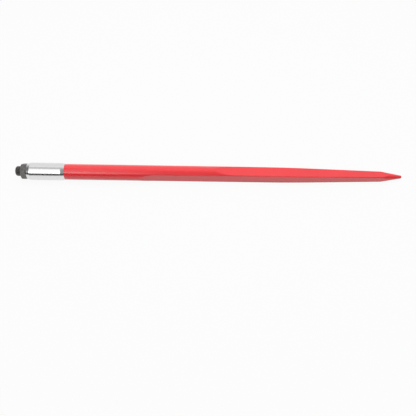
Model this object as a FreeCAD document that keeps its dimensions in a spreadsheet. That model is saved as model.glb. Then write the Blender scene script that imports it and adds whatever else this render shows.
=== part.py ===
# Bale spear with its weld-in sleeve and its nut.
#
# Frame: X runs along the spear towards its point, Z is up with the forged flats facing up, down,
# front (-Y) and back (+Y). The origin is the centre of the sleeve. All sizes are in millimetres.
import FreeCAD, Part
import math
import os
import Sketcher

# Driving sizes: alias, number, meaning.
SIZES = [
    ("thread_diameter", 28, "stud: outside diameter of the fine thread"),
    ("thread_pitch", 1.5, "stud: pitch of the thread"),
    ("stud_proud", 16, "stud: length that stands out of the nut"),
    ("stud_chamfer", 1.75, "stud: chamfer at its end"),
    ("nut_height", 18, "nut: height along the spear"),
    ("nut_across_flats", 41, "nut: spanner size"),
    ("nut_turn", 12, "nut: angle at which it stopped when tightened, in degrees"),
    ("nut_face_diameter", 38, "nut: flat ring left on each face inside the chamfer"),
    ("nut_chamfer_angle", 30, "nut: chamfer of the corners, in degrees"),
    ("nut_countersink", 0.6, "nut: how far its thread's countersink is wider than the thread"),
    ("thread_clearance", 0.1, "nut: play around the core of the stud"),
    ("sleeve_length", 106.5, "sleeve: length"),
    ("sleeve_wall", 2.4, "sleeve: how far it stands out from the round bar"),
    ("sleeve_edge", 0.6, "sleeve: width of the flat edge left around its mouth"),
    ("sleeve_chamfer", 9, "sleeve: length of the shallow chamfer at each end"),
    ("taper_clearance", 0.1, "sleeve: play between its tapered bore and the shank"),
    ("shank_lead", 7.5, "shank: how far its full diameter lies outside the sleeve's mouth"),
    ("shank_stop", 12, "shank: distance from its small end to the sleeve's back face"),
    ("shank_step", 2, "shank: step from the thread out to its small end"),
    ("shank_round", 1, "shank: rounding of its small end"),
    ("bar_diameter", 45, "bar: round stretch"),
    ("round_length", 212.5, "bar: from the sleeve to the first two flats"),
    ("two_flats_length", 217, "bar: from the first two flats to the other two"),
    ("square_length", 206.5, "bar: from the second two flats to the taper"),
    ("taper_length", 264.5, "bar: from the start of the taper to the point's shoulder"),
    ("point_length", 59, "point: from its shoulder to the tip"),
    ("corner_diameter", 44.8, "bar: diameter over the corners where the taper starts"),
    ("across_flats", 33.6, "flats: distance across two of them at their run-outs"),
    ("runout_angle", 13.5, "flats: steepest angle of their run-out, in degrees"),
    ("runout_radius", 215, "flats: hollow of their run-out"),
    ("taper_across_flats", 31.6, "flats: distance across the square where the taper starts"),
    ("taper_round", 5000, "flats and corners: radius of the soft bend into the taper"),
    ("shoulder_across_flats", 22.5, "flats: distance across the square at the point's shoulder"),
    ("shoulder_diameter", 29.7, "point: diameter over the corners at its shoulder"),
    ("tip_diameter", 8, "point: diameter of its blunt tip"),
    ("tip_round", 3.6, "point: rounding of the tip"),
]

# A 60 degree thread's core is this many pitches smaller than its outside diameter.
CORE_PITCHES = 1.2269
# Outlines that cut stand this far clear of what they cut.
CLEAR = 5

# Stations along the spear, as formulas over the sheet.
MOUTH = "Sizes.sleeve_length / 2"
BACK = "-Sizes.sleeve_length / 2"
STUD_END = f"{BACK} - Sizes.nut_height - Sizes.stud_proud"
SHANK_START = f"{BACK} + Sizes.shank_stop"
SHANK_END = f"{MOUTH} + Sizes.shank_lead"
FIRST_FLATS = f"{MOUTH} + Sizes.round_length"
SECOND_FLATS = f"{FIRST_FLATS} + Sizes.two_flats_length"
TAPER_START = f"{SECOND_FLATS} + Sizes.square_length"
SHOULDER = f"{TAPER_START} + Sizes.taper_length"
TIP = f"{SHOULDER} + Sizes.point_length"

# Radii and half widths, as formulas over the sheet.
BAR_R = "Sizes.bar_diameter / 2"
CORNER_R = "Sizes.corner_diameter / 2"
CORE_R = f"(Sizes.thread_diameter - {CORE_PITCHES} * Sizes.thread_pitch) / 2"
SHANK_R = "(Sizes.thread_diameter / 2 + Sizes.shank_step)"
SHANK_SLOPE = f"({BAR_R} - {SHANK_R}) / ({SHANK_END} - ({SHANK_START}))"
MOUTH_BORE_R = f"({BAR_R} - Sizes.shank_lead * {SHANK_SLOPE} + Sizes.taper_clearance)"
BACK_BORE_R = f"({SHANK_R} - Sizes.shank_stop * {SHANK_SLOPE} + Sizes.taper_clearance)"
SLEEVE_R = f"({BAR_R} + Sizes.sleeve_wall)"
FLAT = "Sizes.across_flats / 2"
TAPER_FLAT = "Sizes.taper_across_flats / 2"
SHOULDER_FLAT = "Sizes.shoulder_across_flats / 2"
FLAT_SLOPE = f"({TAPER_FLAT} - {SHOULDER_FLAT}) / Sizes.taper_length"

# Name, plane of the side view that draws it, side of the bar and start of each forged flat.
FLATS = [
    ("lower_flat", "XZ_Plane", "-", FIRST_FLATS),
    ("front_flat", "XY_Plane", "-", FIRST_FLATS),
    ("upper_flat", "XZ_Plane", "", SECOND_FLATS),
    ("back_flat", "XY_Plane", "", SECOND_FLATS),
]


def make_sheet(doc):
    """The spreadsheet with the driving sizes."""
    sheet = doc.addObject("Spreadsheet::Sheet", "Sizes")
    for row, (alias, number, meaning) in enumerate(SIZES, start=1):
        sheet.set(f"A{row}", meaning)
        sheet.set(f"B{row}", str(number))
        sheet.setAlias(f"B{row}", alias)
    doc.recompute()


def number(doc, formula):
    """What a formula over the sheet comes to now."""
    return float(doc.getObject("Sizes").evalExpression(formula))


def make_sketch(body, name, role):
    """An empty sketch on one of the body's own origin planes."""
    sketch = body.newObject("Sketcher::SketchObject", name)
    plane = next(item for item in body.Origin.OriginFeatures if item.Role == role)
    sketch.AttachmentSupport = [(plane, "")]
    sketch.MapMode = "FlatFace"
    return sketch


def bind(sketch, name, constraint, formula):
    """Add a dimension and tie it to its formula."""
    index = sketch.addConstraint(constraint)
    sketch.renameConstraint(index, name)
    sketch.setExpression(f"Constraints.{name}", formula)


def place_point(doc, sketch, name, point, x, y):
    """Dimension one point (geometry index, end) of the sketch from its origin."""
    bind(sketch, f"{name}_x", Sketcher.Constraint("DistanceX", -1, 1, *point, number(doc, x)), x)
    if y == "0":
        sketch.addConstraint(Sketcher.Constraint("PointOnObject", *point, -1))
    else:
        bind(sketch, f"{name}_y", Sketcher.Constraint("DistanceY", -1, 1, *point, number(doc, y)), y)


def tangent_arc(before, corner, after, radius):
    """Where an arc leaves the two straight lines of a corner, and the arc itself."""
    back = (before - corner).normalize()
    ahead = (after - corner).normalize()
    half = back.getAngle(ahead) / 2
    first = corner + back * (radius / math.tan(half))
    last = corner + ahead * (radius / math.tan(half))
    centre = corner + (back + ahead).normalize() * (radius / math.sin(half))
    turns_left = (first - centre).cross(last - centre).z > 0
    start, end = (first, last) if turns_left else (last, first)
    angles = [math.atan2(spot.y - centre.y, spot.x - centre.x) for spot in (start, end)]
    circle = Part.Circle(centre, FreeCAD.Vector(0, 0, 1), radius)
    return first, last, turns_left, Part.ArcOfCircle(circle, *angles)


def draw_outline(doc, sketch, corners):
    """Closed outline through corners (name, x, y) or, for a rounded one, (name, x, y, radius)."""
    count = len(corners)
    spots = [FreeCAD.Vector(number(doc, c[1]), number(doc, c[2]), 0) for c in corners]
    starts = list(spots)
    ends = list(spots)
    arcs = {}
    for i, corner in enumerate(corners):
        if len(corner) == 4:
            radius = number(doc, corner[3])
            before, after = spots[i - 1], spots[(i + 1) % count]
            ends[i], starts[i], turns_left, arc = tangent_arc(before, spots[i], after, radius)
            arcs[i] = (turns_left, arc)
    lines = []
    for i in range(count):
        lines.append(sketch.addGeometry(Part.LineSegment(starts[i], ends[(i + 1) % count])))
    for i, corner in enumerate(corners):
        arriving = (lines[i - 1], 2)
        leaving = (lines[i], 1)
        if i not in arcs:
            sketch.addConstraint(Sketcher.Constraint("Coincident", *arriving, *leaving))
            place_point(doc, sketch, corner[0], arriving, corner[1], corner[2])
            continue
        turns_left, arc = arcs[i]
        bend = sketch.addGeometry(arc)
        near, far = (1, 2) if turns_left else (2, 1)
        sketch.addConstraint(Sketcher.Constraint("Tangent", *arriving, bend, near))
        sketch.addConstraint(Sketcher.Constraint("Tangent", bend, far, *leaving))
        bind(sketch, f"{corner[0]}_round",
             Sketcher.Constraint("Radius", bend, arc.Radius), corner[3])
        apex = sketch.addGeometry(Part.Point(spots[i]), True)
        place_point(doc, sketch, corner[0], (apex, 1), corner[1], corner[2])
        sketch.addConstraint(Sketcher.Constraint("PointOnObject", apex, 1, lines[i - 1]))
        sketch.addConstraint(Sketcher.Constraint("PointOnObject", apex, 1, lines[i]))


def turn(body, kind, name, sketch):
    """Revolution or Groove of a sketch around the spear's axis."""
    feature = body.newObject(f"PartDesign::{kind}", name)
    feature.Profile = sketch
    feature.ReferenceAxis = (sketch, ["H_Axis"])
    feature.Angle = 360
    return feature


def must_cut(doc, body, feature, before):
    """Stop where a cut took nothing off the body."""
    doc.recompute()
    if feature.Shape.Volume > before - 1:
        raise RuntimeError(f"{body.Label}: {feature.Label} cuts nothing")
    return feature.Shape.Volume


def make_spear(doc):
    """The forging: stud, tapered shank, round bar, four flats and cone point."""
    body = doc.addObject("PartDesign::Body", "spear")
    profile = make_sketch(body, "spear_profile", "XZ_Plane")
    draw_outline(doc, profile, [
        ("stud_centre", STUD_END, "0"),
        ("stud_face", STUD_END, f"{CORE_R} - Sizes.stud_chamfer"),
        ("stud_edge", f"{STUD_END} + Sizes.stud_chamfer", CORE_R),
        ("stud_root", SHANK_START, CORE_R),
        ("shank_edge", SHANK_START, SHANK_R, "Sizes.shank_round"),
        ("shank_end", SHANK_END, BAR_R),
        ("round_end", FIRST_FLATS, BAR_R),
        ("taper_start", TAPER_START, CORNER_R, "Sizes.taper_round"),
        ("shoulder", SHOULDER, "Sizes.shoulder_diameter / 2"),
        ("tip_edge", TIP, "Sizes.tip_diameter / 2", "Sizes.tip_round"),
        ("tip_centre", TIP, "0"),
    ])
    round_bar = turn(body, "Revolution", "round_bar", profile)
    doc.recompute()
    volume = round_bar.Shape.Volume
    for name, role, side, start in FLATS:
        forge_flat(doc, body, name, role, side, start)
        volume = must_cut(doc, body, body.Tip, volume)
    return body


def forge_flat(doc, body, name, role, side, start):
    """One flat: hollow run-out, nearly level stretch, soft bend and taper past the tip."""
    top = f"({BAR_R} + {CLEAR})"
    entry_run = f"({top} - {BAR_R}) / tan(Sizes.runout_angle * 1deg)"
    foot_run = f"({BAR_R} - {FLAT}) / tan(Sizes.runout_angle * 1deg)"
    far_end = f"{TIP} + {CLEAR}"
    far_flat = f"({SHOULDER_FLAT} - (Sizes.point_length + {CLEAR}) * {FLAT_SLOPE})"
    sketch = make_sketch(body, f"{name}_profile", role)
    draw_outline(doc, sketch, [
        ("entry", f"{start} - {entry_run}", f"{side}{top}"),
        ("foot", f"{start} + {foot_run}", f"{side}{FLAT}", "Sizes.runout_radius"),
        ("taper_start", TAPER_START, f"{side}{TAPER_FLAT}", "Sizes.taper_round"),
        ("far_flat", far_end, f"{side}{far_flat}"),
        ("far_top", far_end, f"{side}{top}"),
    ])
    flat = body.newObject("PartDesign::Pocket", name)
    flat.Profile = sketch
    flat.Type = "ThroughAll"
    flat.SideType = "Symmetric"


def make_sleeve(doc):
    """The weld-in sleeve: a tube with a tapered bore and a shallow chamfer at each end."""
    body = doc.addObject("PartDesign::Body", "weld_in_sleeve")
    rim = f"({MOUTH_BORE_R} + Sizes.sleeve_edge)"
    profile = make_sketch(body, "sleeve_profile", "XZ_Plane")
    draw_outline(doc, profile, [
        ("back_bore", BACK, BACK_BORE_R),
        ("back_rim", BACK, rim),
        ("back_chamfer", f"{BACK} + Sizes.sleeve_chamfer", SLEEVE_R),
        ("mouth_chamfer", f"{MOUTH} - Sizes.sleeve_chamfer", SLEEVE_R),
        ("mouth_rim", MOUTH, rim),
        ("mouth_bore", MOUTH, MOUTH_BORE_R),
    ])
    turn(body, "Revolution", "sleeve_wall", profile)
    return body


def make_nut(doc):
    """The nut: a hexagon with chamfered corners and a countersunk bore, seated on the sleeve."""
    body = doc.addObject("PartDesign::Body", "hex_nut")
    corner = "Sizes.nut_across_flats / sqrt(3)"
    side = "Sizes.nut_across_flats / 2"
    hexagon = make_sketch(body, "hexagon", "YZ_Plane")
    draw_outline(doc, hexagon, [
        ("front", f"-{corner}", "0"),
        ("upper_front", f"-{corner} / 2", side),
        ("upper_back", f"{corner} / 2", side),
        ("back", corner, "0"),
        ("lower_back", f"{corner} / 2", f"-{side}"),
        ("lower_front", f"-{corner} / 2", f"-{side}"),
    ])
    block = body.newObject("PartDesign::Pad", "block")
    block.Profile = hexagon
    block.setExpression("Length", "Sizes.nut_height")
    block.Reversed = True
    doc.recompute()
    volume = block.Shape.Volume

    face_r = "Sizes.nut_face_diameter / 2"
    rim_r = f"({corner} + {CLEAR})"
    run = f"({rim_r} - {face_r}) * tan(Sizes.nut_chamfer_angle * 1deg)"
    chamfers = make_sketch(body, "chamfer_profile", "XZ_Plane")
    draw_outline(doc, chamfers, [
        ("seat_face", "0", face_r),
        ("seat_rim", "0", rim_r),
        ("seat_side", f"-{run}", rim_r),
    ])
    draw_outline(doc, chamfers, [
        ("outer_face", "-Sizes.nut_height", face_r),
        ("outer_rim", "-Sizes.nut_height", rim_r),
        ("outer_side", f"-Sizes.nut_height + {run}", rim_r),
    ])
    volume = must_cut(doc, body, turn(body, "Groove", "chamfered_corners", chamfers), volume)

    bore_r = f"({CORE_R} + Sizes.thread_clearance)"
    sink_r = "(Sizes.thread_diameter / 2 + Sizes.nut_countersink)"
    bore = make_sketch(body, "bore_profile", "XZ_Plane")
    draw_outline(doc, bore, [
        ("seat_centre", "0", "0"),
        ("seat_sink", "0", sink_r),
        ("seat_bore", f"-({sink_r} - {bore_r})", bore_r),
        ("outer_bore", f"-Sizes.nut_height + ({sink_r} - {bore_r})", bore_r),
        ("outer_sink", "-Sizes.nut_height", sink_r),
        ("outer_centre", "-Sizes.nut_height", "0"),
    ])
    must_cut(doc, body, turn(body, "Groove", "bore", bore), volume)
    axis = FreeCAD.Vector(1, 0, 0)
    body.Placement.Rotation = FreeCAD.Rotation(axis, number(doc, "Sizes.nut_turn"))
    body.setExpression("Placement.Rotation.Angle", "Sizes.nut_turn * 1deg")
    body.setExpression("Placement.Base.x", BACK)
    return body


def check(doc, bodies):
    """Stop where an object failed or a sub-part is no closed solid."""
    for item in doc.Objects:
        if "Invalid" in item.State or "Error" in item.State:
            raise RuntimeError(f"{item.Label} failed: {item.State}")
    for body in bodies:
        if body.Shape.isNull() or not body.Shape.isValid() or len(body.Shape.Solids) != 1:
            raise RuntimeError(f"{body.Label} is not one valid solid")


def main():
    doc = FreeCAD.newDocument("bale_spear")
    make_sheet(doc)
    bodies = [make_spear(doc), make_sleeve(doc), make_nut(doc)]
    doc.recompute()
    check(doc, bodies)
    os.makedirs("parts", exist_ok=True)
    for body in bodies:
        body.Shape.exportStep(f"parts/{body.Label}.step")
        box = body.Shape.BoundBox
        print(body.Label, round(body.Shape.Volume), "mm3, X", round(box.XMin, 2), round(box.XMax, 2))


main()
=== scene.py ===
# Looks of the bale spear: the camera, the light, the floor, the finishes and the forging's fine form.
#
# Metres, in the frame of the solids: X along the spear to its point, Z up.
import math

import bpy
from mathutils import Euler, Matrix, Vector


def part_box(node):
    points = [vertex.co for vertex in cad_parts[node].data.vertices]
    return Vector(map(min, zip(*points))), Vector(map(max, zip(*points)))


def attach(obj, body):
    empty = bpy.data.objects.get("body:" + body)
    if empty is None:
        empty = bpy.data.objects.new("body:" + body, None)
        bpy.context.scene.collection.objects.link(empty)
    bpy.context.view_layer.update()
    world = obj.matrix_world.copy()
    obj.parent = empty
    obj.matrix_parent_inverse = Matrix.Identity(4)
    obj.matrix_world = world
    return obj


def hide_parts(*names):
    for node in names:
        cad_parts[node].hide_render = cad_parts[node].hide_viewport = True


MM = 0.001

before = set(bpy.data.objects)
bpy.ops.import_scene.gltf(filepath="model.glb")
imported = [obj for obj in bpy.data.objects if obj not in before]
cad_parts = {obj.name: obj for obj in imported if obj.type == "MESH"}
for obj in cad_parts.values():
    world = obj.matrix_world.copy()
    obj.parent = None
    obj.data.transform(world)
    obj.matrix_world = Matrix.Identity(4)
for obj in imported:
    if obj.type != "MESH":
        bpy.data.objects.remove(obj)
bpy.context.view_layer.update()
SPEAR_LOW, SPEAR_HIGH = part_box("spear")
SLEEVE_LOW, SLEEVE_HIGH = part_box("weld_in_sleeve")
NUT_LOW, NUT_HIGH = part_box("hex_nut")

# Stations along the spear.
STUD_END = SPEAR_LOW.x
TIP = SPEAR_HIGH.x
MOUTH = SLEEVE_HIGH.x
FIRST_FLATS = MOUTH + 212.5 * MM
SECOND_FLATS = FIRST_FLATS + 217 * MM
TAPER_START = SECOND_FLATS + 206.5 * MM
SHOULDER = TAPER_START + 264.5 * MM

# Radii and half widths of the forging.
THREAD_R = 14 * MM
THREAD_PITCH = 1.5 * MM
CORE_R = 13.08 * MM
STUD_FACE_R = 11.33 * MM
BAR_R = 22.5 * MM
SHANK_R = 16 * MM
SHANK_LEAD = 7.5 * MM
SHANK_STOP = 12 * MM
CORNER_R = 22.4 * MM
FLAT = 16.8 * MM
TAPER_FLAT = 15.8 * MM
SHOULDER_FLAT = 11.25 * MM
SHOULDER_R = 14.85 * MM
TIP_R = 4 * MM
TIP_ROUND = 3.6 * MM
RUNOUT_R = 215 * MM
RUNOUT_ANGLE = math.radians(13.5)
BEND_R = 5.0
ARRIS = 0.35 * MM

# Mesh of the forging: how far it reaches into the sleeve, and its rings at and between the run-outs.
HIDDEN = 50 * MM
SHANK_GAP = 15 * MM
ROUND_GAP = 12 * MM
LEAD_IN = 6 * MM
RUNOUT_LENGTH = 60 * MM
FINE_GAP = 1.5 * MM
COARSE_GAP = 6 * MM
FORGING_SIDES = 192
STUD_SIDES = 96

# A flat shapes the section only where the direction is this near to its own, as a cosine.
NEAR_FLAT = 0.3

# Direction each flat faces, as an angle from +Y towards +Z, and where it starts.
FLATS = [
    (math.radians(270), FIRST_FLATS),
    (math.radians(180), FIRST_FLATS),
    (math.radians(90), SECOND_FLATS),
    (0.0, SECOND_FLATS),
]


def bent_line(x, corner, level, before, after):
    """Two straight falling lines that meet at the corner, joined by a soft bend of radius BEND_R."""
    reach = BEND_R * math.tan((math.atan(after) - math.atan(before)) / 2)
    if x <= corner - reach:
        return level - before * (x - corner)
    if x >= corner + reach:
        return level - after * (x - corner)
    run = x - (corner - reach)
    return level + before * reach - before * run - (BEND_R - math.sqrt(BEND_R ** 2 - run ** 2))


def flat_distance(x, nose):
    """How far a forged flat lies from the axis at station x."""
    foot = nose + (BAR_R - FLAT) / math.tan(RUNOUT_ANGLE)
    fall = (FLAT - TAPER_FLAT) / (TAPER_START - foot)
    full = foot + RUNOUT_R * math.tan((RUNOUT_ANGLE - math.atan(fall)) / 2)
    if x < full:
        run = full - x
        steepest = RUNOUT_R * math.sin(RUNOUT_ANGLE)
        level = FLAT - fall * (full - foot)
        if run > steepest:
            drop = RUNOUT_R * (1 - math.cos(RUNOUT_ANGLE))
            return level + drop + (run - steepest) * math.tan(RUNOUT_ANGLE)
        return level + RUNOUT_R - math.sqrt(RUNOUT_R ** 2 - run ** 2)
    slope = (TAPER_FLAT - SHOULDER_FLAT) / (SHOULDER - TAPER_START)
    return bent_line(x, TAPER_START, TAPER_FLAT, fall, slope)


def corner_radius(x):
    """Radius over the corners of the section at station x."""
    if x <= FIRST_FLATS:
        return BAR_R
    if x <= SHOULDER:
        before = (BAR_R - CORNER_R) / (TAPER_START - FIRST_FLATS)
        after = (CORNER_R - SHOULDER_R) / (SHOULDER - TAPER_START)
        return bent_line(x, TAPER_START, CORNER_R, before, after)
    return SHOULDER_R + (TIP_R - SHOULDER_R) * (x - SHOULDER) / (TIP - SHOULDER)


def soft_min(values, width):
    """Smallest of the values, rounded where two of them meet."""
    low = min(values)
    return low - width * math.log(sum(math.exp((low - v) / width) for v in values))


def section_radius(x, radius, angle):
    """Radius of the forging's surface at station x in one direction."""
    reaches = [radius]
    for facing, nose in FLATS:
        towards = math.cos(angle - facing)
        if towards > NEAR_FLAT:
            reaches.append(flat_distance(x, nose) / towards)
    return soft_min(reaches, ARRIS)


def steps(start, end, gap):
    """Evenly spaced stations from start up to, but without, the end."""
    count = max(1, round((end - start) / gap))
    return [start + (end - start) * i / count for i in range(count)]


def point_rings():
    """Rings (station, radius) of the cone and its rounded tip."""
    fall = math.atan((SHOULDER_R - TIP_R) / (TIP - SHOULDER))
    turn = math.pi / 2 - fall
    setback = TIP_ROUND * math.tan(turn / 2)
    centre_r = TIP_R - setback
    centre_x = TIP - TIP_ROUND
    bend_x = centre_x + TIP_ROUND * math.sin(fall)
    rings = [(x, corner_radius(x)) for x in steps(SHOULDER, bend_x, 1 * MM)]
    for i in range(11):
        lean = fall + turn * i / 10
        rings.append((centre_x + TIP_ROUND * math.sin(lean), centre_r + TIP_ROUND * math.cos(lean)))
    return rings


def skin(name, rings, sides, radius_at):
    """Closed mesh through rings (station, radius); radius_at gives the surface in each direction."""
    verts = []
    for x, radius in rings:
        for k in range(sides):
            angle = 2 * math.pi * k / sides
            reach = radius_at(x, radius, angle)
            verts.append((x, reach * math.cos(angle), reach * math.sin(angle)))
    faces = []
    for i in range(len(rings) - 1):
        for k in range(sides):
            a = i * sides + k
            b = i * sides + (k + 1) % sides
            faces.append((a, b, b + sides, a + sides))
    first_centre = len(verts)
    verts.append((rings[0][0], 0, 0))
    last_centre = len(verts)
    verts.append((rings[-1][0], 0, 0))
    last = (len(rings) - 1) * sides
    for k in range(sides):
        after = (k + 1) % sides
        faces.append((first_centre, after, k))
        faces.append((last_centre, last + k, last + after))
    mesh = bpy.data.meshes.new(name)
    mesh.from_pydata(verts, [], faces)
    mesh.validate()
    mesh.shade_smooth()
    piece = bpy.data.objects.new(name, mesh)
    bpy.context.scene.collection.objects.link(piece)
    return piece


def make_forging():
    """Painted part of the forging, from inside the sleeve to the tip."""
    full = MOUTH + SHANK_LEAD
    shank_slope = (BAR_R - SHANK_R) / (full - SLEEVE_LOW.x - SHANK_STOP)
    inside = MOUTH - HIDDEN
    rings = [(x, BAR_R - (full - x) * shank_slope) for x in steps(inside, full, SHANK_GAP)]
    rings += [(x, BAR_R) for x in steps(full, FIRST_FLATS - LEAD_IN, ROUND_GAP)]
    forged = []
    for nose, end in ((FIRST_FLATS, SECOND_FLATS - LEAD_IN), (SECOND_FLATS, SHOULDER)):
        forged += steps(nose - LEAD_IN, nose + RUNOUT_LENGTH, FINE_GAP)
        forged += steps(nose + RUNOUT_LENGTH, end, COARSE_GAP)
    rings += [(x, corner_radius(x)) for x in forged]
    rings += point_rings()
    return skin("painted_forging", rings, FORGING_SIDES, section_radius)


def thread_radius(x, radius, angle):
    """Radius of the stud's threaded end: a right-hand ridge of the fine thread on the core."""
    turn = (x / THREAD_PITCH - angle / (2 * math.pi)) % 1
    ridge = max(0.0, min(1.0, 1.35 - 2.9 * abs(turn - 0.5)))
    fade = max(0.0, min(1.0, (NUT_LOW.x + 0.8 * MM - x) / (1 * MM)))
    return min(radius, CORE_R + (THREAD_R - CORE_R) * ridge * fade)


def make_stud():
    """Threaded stud, up to inside the nut."""
    rings = []
    for x in steps(STUD_END, NUT_LOW.x + 1.5 * MM, 0.125 * MM):
        rings.append((x, min(THREAD_R, STUD_FACE_R + (x - STUD_END))))
    rings.append((NUT_HIGH.x + 8 * MM, CORE_R))
    return skin("threaded_stud", rings, STUD_SIDES, thread_radius)


# --- finishes -------------------------------------------------------------------------------------

def new_material(name):
    """Node material with an empty tree apart from its shader and output."""
    material = bpy.data.materials.new(name)
    material.use_nodes = True
    shader = material.node_tree.nodes["Principled BSDF"]
    return material, material.node_tree, shader


def add_node(tree, kind, **inputs):
    """A node with some of its inputs set."""
    node = tree.nodes.new(kind)
    for key, value in inputs.items():
        node.inputs[key.replace("_", " ")].default_value = value
    return node


def noise(tree, scale, detail=2.0, stretch=(1, 1, 1)):
    """Noise over the object's own coordinates, stretched along the axes."""
    place = tree.nodes.new("ShaderNodeTexCoord")
    mapping = tree.nodes.new("ShaderNodeMapping")
    mapping.inputs["Scale"].default_value = stretch
    tree.links.new(place.outputs["Object"], mapping.inputs["Vector"])
    texture = add_node(tree, "ShaderNodeTexNoise", Scale=scale, Detail=detail)
    tree.links.new(mapping.outputs["Vector"], texture.inputs["Vector"])
    return texture.outputs["Fac"]


def ramp(tree, source, stops):
    """Colour ramp driven by a value; stops are (position, colour)."""
    node = tree.nodes.new("ShaderNodeValToRGB")
    elements = node.color_ramp.elements
    while len(elements) < len(stops):
        elements.new(0.5)
    for element, (position, colour) in zip(elements, stops):
        element.position = position
        element.color = (*colour, 1)
    tree.links.new(source, node.inputs["Fac"])
    return node.outputs["Color"]


def span(tree, source, low, high):
    """A value mapped from 0..1 to low..high."""
    node = tree.nodes.new("ShaderNodeMapRange")
    node.inputs["To Min"].default_value = low
    node.inputs["To Max"].default_value = high
    tree.links.new(source, node.inputs["Value"])
    return node.outputs["Result"]


def smooth_span(tree, source, ends, values):
    """A value that goes smoothly from one value to the other between two ends of the source."""
    node = tree.nodes.new("ShaderNodeMapRange")
    node.interpolation_type = "SMOOTHSTEP"
    node.inputs["From Min"].default_value, node.inputs["From Max"].default_value = ends
    node.inputs["To Min"].default_value, node.inputs["To Max"].default_value = values
    tree.links.new(source, node.inputs["Value"])
    return node.outputs["Result"]


def combine(tree, operation, first, second):
    """Two colours or values put together, channel by channel."""
    node = tree.nodes.new("ShaderNodeVectorMath")
    node.operation = operation
    tree.links.new(first, node.inputs[0])
    tree.links.new(second, node.inputs[1])
    return node.outputs["Vector"]


def calculate(tree, operation, first, second):
    """A value put together with another value or with a plain number."""
    node = tree.nodes.new("ShaderNodeMath")
    node.operation = operation
    tree.links.new(first, node.inputs[0])
    if isinstance(second, (int, float)):
        node.inputs[1].default_value = second
    else:
        tree.links.new(second, node.inputs[1])
    return node.outputs[0]


def bump(tree, shader, height, distance):
    """Bump from a height value."""
    node = tree.nodes.new("ShaderNodeBump")
    node.inputs["Strength"].default_value = 1.0
    node.inputs["Distance"].default_value = distance
    tree.links.new(height, node.inputs["Height"])
    tree.links.new(node.outputs["Normal"], shader.inputs["Normal"])


def red_paint():
    """Glossy red enamel with a slight orange peel."""
    material, tree, shader = new_material("red_enamel")
    tint = ramp(tree, noise(tree, 14, 3), [(0.3, (0.78, 0.017, 0.024)), (0.7, (0.82, 0.022, 0.030))])
    tree.links.new(tint, shader.inputs["Base Color"])
    tree.links.new(span(tree, noise(tree, 60, 2), 0.28, 0.40), shader.inputs["Roughness"])
    shader.inputs["Specular IOR Level"].default_value = 0.5
    shader.inputs["Coat Weight"].default_value = 0.8
    shader.inputs["Coat Roughness"].default_value = 0.10
    bump(tree, shader, noise(tree, 420, 1), 0.04 * MM)
    return material


def turned_steel():
    """Bright steel with the fine rings of the lathe and a sandy grain."""
    material, tree, shader = new_material("turned_steel")
    shader.inputs["Metallic"].default_value = 1.0
    tint = ramp(tree, noise(tree, 300, 4), [(0.3, (0.74, 0.74, 0.75)), (0.7, (0.80, 0.80, 0.81))])
    tree.links.new(tint, shader.inputs["Base Color"])
    tree.links.new(span(tree, noise(tree, 900, 3), 0.16, 0.26), shader.inputs["Roughness"])
    bump(tree, shader, noise(tree, 1500, 3, (2.5, 1, 1)), 0.005 * MM)
    return material


def dark_steel():
    """Dull blackened steel of the nut and the stud."""
    material, tree, shader = new_material("blackened_steel")
    shader.inputs["Metallic"].default_value = 0.85
    tint = ramp(tree, noise(tree, 160, 4), [(0.3, (0.15, 0.145, 0.14)), (0.7, (0.22, 0.213, 0.21))])
    tree.links.new(tint, shader.inputs["Base Color"])
    tree.links.new(span(tree, noise(tree, 300, 3), 0.34, 0.5), shader.inputs["Roughness"])
    bump(tree, shader, noise(tree, 1200, 3), 0.02 * MM)
    return material


def give(piece, material):
    """Make this the piece's only material."""
    piece.data.materials.clear()
    piece.data.materials.append(material)


# --- stage ----------------------------------------------------------------------------------------

# How far the floor leans along the spear, and how much plain white the camera sees in it.
LEAN = math.radians(0.75)
FLOOR_WHITE = 0.93


def make_floor():
    """Pale floor, level with the sleeve's underside at its centre and rising towards the point."""
    mesh = bpy.data.meshes.new("floor")
    size = 8.0
    corners = [(-size, -size, 0), (size, -size, 0), (size, size, 0), (-size, size, 0)]
    mesh.from_pydata(corners, [], [(0, 1, 2, 3)])
    floor = bpy.data.objects.new("floor", mesh)
    bpy.context.scene.collection.objects.link(floor)
    floor.location = (0, 0, SLEEVE_LOW.z)
    floor.rotation_euler = Euler((0, -LEAN, 0))
    material = bpy.data.materials.new("floor")
    material.use_nodes = True
    tree = material.node_tree
    tree.nodes.clear()
    output = tree.nodes.new("ShaderNodeOutputMaterial")
    plain = tree.nodes.new("ShaderNodeBsdfDiffuse")
    plain.inputs["Color"].default_value = (0.62, 0.62, 0.63, 1)
    white = tree.nodes.new("ShaderNodeEmission")
    white.inputs["Strength"].default_value = 1.0
    rays = tree.nodes.new("ShaderNodeLightPath")
    seen = calculate(tree, "MAXIMUM", rays.outputs["Is Camera Ray"], rays.outputs["Is Glossy Ray"])
    share = calculate(tree, "MULTIPLY", seen, FLOOR_WHITE)
    mix = tree.nodes.new("ShaderNodeMixShader")
    tree.links.new(share, mix.inputs["Fac"])
    tree.links.new(plain.outputs[0], mix.inputs[1])
    tree.links.new(white.outputs[0], mix.inputs[2])
    tree.links.new(mix.outputs[0], output.inputs["Surface"])
    floor.data.materials.append(material)


def grey(degrees, value):
    """Stop of the studio's ramps: brightness at an elevation over the front horizon."""
    return (degrees / 180, (value, value, value))


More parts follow.
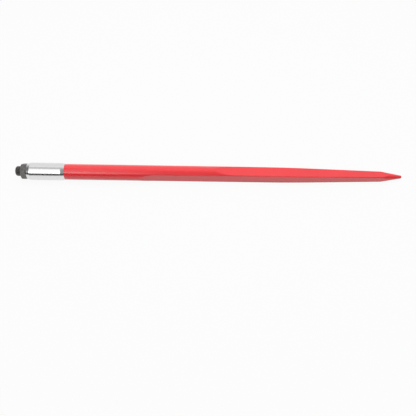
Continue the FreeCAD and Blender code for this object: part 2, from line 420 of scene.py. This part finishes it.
def make_world():
    """Studio round the spear: pale walls, a dark gap low in front and a bright panel to the left."""
    world = bpy.data.worlds.new("studio")
    bpy.context.scene.world = world
    world.use_nodes = True
    tree = world.node_tree
    background = tree.nodes["Background"]
    place = tree.nodes.new("ShaderNodeTexCoord")
    axes = tree.nodes.new("ShaderNodeSeparateXYZ")
    tree.links.new(place.outputs["Generated"], axes.inputs[0])
    front = calculate(tree, "MULTIPLY", axes.outputs["Y"], -1)
    angle = calculate(tree, "ARCTAN2", axes.outputs["Z"], front)
    share = calculate(tree, "DIVIDE", angle, math.pi)
    sky = ramp(tree, share, [
        grey(0, 0.50), grey(5, 0.04), grey(23, 0.04), grey(34, 0.40), grey(60, 0.36), grey(90, 0.40),
        grey(97, 0.62), grey(108, 0.66), grey(118, 1.0), grey(126, 1.0), grey(136, 0.92), grey(180, 0.92),
    ])
    panel = ramp(tree, share, [
        grey(27, 0.0), grey(38, 0.8), grey(46, 1.0), grey(56, 0.5),
        grey(66, 0.30), grey(86, 0.30), grey(93, 0.0),
    ])
    left = smooth_span(tree, axes.outputs["X"], (-0.28, -0.09), (3.2, 0.0))
    walls = smooth_span(tree, axes.outputs["X"], (-0.72, -0.58), (0.10, 1.0))
    lit = combine(tree, "MULTIPLY", panel, left)
    total = combine(tree, "MULTIPLY", combine(tree, "ADD", sky, lit), walls)
    tree.links.new(total, background.inputs["Color"])
    background.inputs["Strength"].default_value = 1.0


def area_light(name, centre, target, size, power):
    """Soft rectangular lamp that reflections leave out."""
    data = bpy.data.lights.new(name, "AREA")
    data.shape = "RECTANGLE"
    data.size, data.size_y = size
    data.energy = power
    lamp = bpy.data.objects.new(name, data)
    bpy.context.scene.collection.objects.link(lamp)
    lamp.location = centre
    lamp.rotation_mode = "QUATERNION"
    lamp.rotation_quaternion = (Vector(target) - Vector(centre)).to_track_quat("-Z", "Y")
    lamp.visible_glossy = False


def make_camera():
    """Camera in front of the spear and 56 degrees above its flats."""
    data = bpy.data.cameras.new("camera")
    camera = bpy.data.objects.new("camera", data)
    bpy.context.scene.collection.objects.link(camera)
    data.lens = 40.76
    data.clip_start = 0.05
    data.clip_end = 50
    middle = Vector((0.46155, 0, 0))
    elevation = 56
    height = math.radians(elevation)
    distance = 1.351
    camera.location = middle + distance * Vector((0, -math.cos(height), math.sin(height)))
    dip = math.radians(elevation + 4.13)
    roll = math.radians(0.9)
    look = Euler((math.pi / 2 - dip, 0, 0)).to_matrix() @ Matrix.Rotation(roll, 3, "Z")
    camera.rotation_euler = look.to_euler()
    bpy.context.scene.camera = camera


def main():
    forging = make_forging()
    stud = make_stud()
    for piece in (forging, stud):
        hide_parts("spear")
        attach(piece, "root")
    give(forging, red_paint())
    dark = dark_steel()
    give(stud, dark)
    give(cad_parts["hex_nut"], dark)
    give(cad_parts["weld_in_sleeve"], turned_steel())
    make_floor()
    make_world()
    area_light("overhead", (0.45, 0.25, 1.6), (0.45, 0, 0), (1.8, 0.8), 15)
    make_camera()
    bpy.context.scene.view_settings.view_transform = "Standard"


main()
